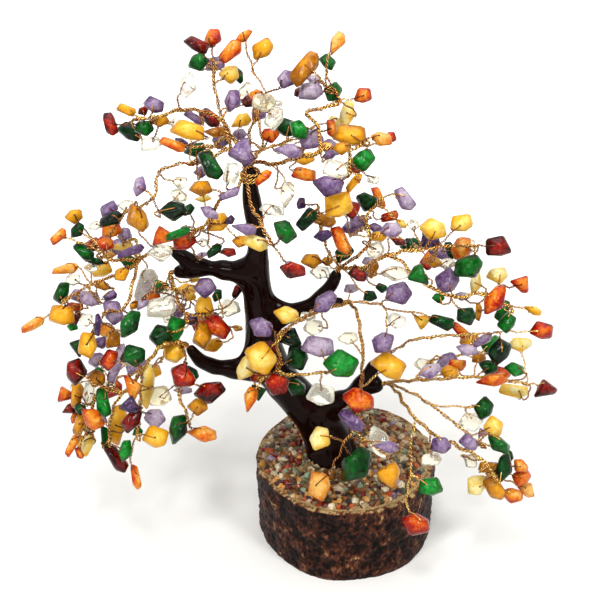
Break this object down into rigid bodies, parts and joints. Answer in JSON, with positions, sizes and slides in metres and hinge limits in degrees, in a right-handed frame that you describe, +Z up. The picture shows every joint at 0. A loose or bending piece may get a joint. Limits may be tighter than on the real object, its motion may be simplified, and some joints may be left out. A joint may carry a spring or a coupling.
{
  "type": "gemstone tree ornament",
  "caption": "Ornamental tree of tumbled gemstone chips on twisted copper wire, with a dark moulded trunk standing in crushed stone on a log slice with bark.",
  "frame": {"origin": "centre of the log's underside, where the ornament stands", "axes": "+Z up, -Y towards the pictured front, +X to the right of it"},
  "size_m": [0.2243, 0.1155, 0.2294],
  "materials": {
    "amethyst": "tumbled amethyst, lavender to dark purple",
    "aventurine": "tumbled green aventurine",
    "yellow_stone": "tumbled yellow stone, pale lemon to ochre",
    "carnelian": "tumbled carnelian, orange to deep red",
    "quartz": "tumbled clear quartz",
    "copper_wire": "bare copper wire, twisted",
    "moulded_trunk": "dark brown moulding under clear lacquer",
    "steel_rod": "bare wire rod",
    "pale_wood": "cut sapwood, unfinished",
    "bark": "rough bark, lacquered",
    "resin": "clear resin full of crushed stone",
    "red_grain": "crushed stone in resin",
    "green_grain": "crushed stone in resin",
    "cream_grain": "crushed stone in resin",
    "purple_grain": "crushed stone in resin",
    "orange_grain": "crushed stone in resin"
  },
  "bodies": {
    "root": {"armature_rod": "steel_rod", "bark": "bark", "cream_gravel": "cream_grain", "crown_amethyst_chips": "amethyst", "crown_aventurine_chips": "aventurine", "crown_carnelian_chips": "carnelian", "crown_quartz_chips": "quartz", "crown_wires": "copper_wire", "crown_yellow_chips": "yellow_stone", "front_amethyst_chips": "amethyst", "front_aventurine_chips": "aventurine", "front_carnelian_chips": "carnelian", "front_quartz_chips": "quartz", "front_wires": "copper_wire", "front_yellow_chips": "yellow_stone", "green_gravel": "green_grain", "log_core": "pale_wood", "lower_left_amethyst_chips": "amethyst", "lower_left_aventurine_chips": "aventurine", "lower_left_carnelian_chips": "carnelian", "lower_left_quartz_chips": "quartz", "lower_left_wires": "copper_wire", "lower_left_yellow_chips": "yellow_stone", "lower_right_amethyst_chips": "amethyst", "lower_right_aventurine_chips": "aventurine", "lower_right_carnelian_chips": "carnelian", "lower_right_high_wires": "copper_wire", "lower_right_quartz_chips": "quartz", "lower_right_wires": "copper_wire", "lower_right_yellow_chips": "yellow_stone", "orange_gravel": "orange_grain", "purple_gravel": "purple_grain", "red_gravel": "red_grain", "resin_bed": "resin", "trunk": "moulded_trunk", "trunk_binding": "copper_wire", "upper_left_amethyst_chips": "amethyst", "upper_left_aventurine_chips": "aventurine", "upper_left_carnelian_chips": "carnelian", "upper_left_low_wires": "copper_wire", "upper_left_quartz_chips": "quartz", "upper_left_wires": "copper_wire", "upper_left_yellow_chips": "yellow_stone", "upper_right_amethyst_chips": "amethyst", "upper_right_aventurine_chips": "aventurine", "upper_right_carnelian_chips": "carnelian", "upper_right_quartz_chips": "quartz", "upper_right_wires": "copper_wire", "upper_right_yellow_chips": "yellow_stone"}
  },
  "joints": []
}
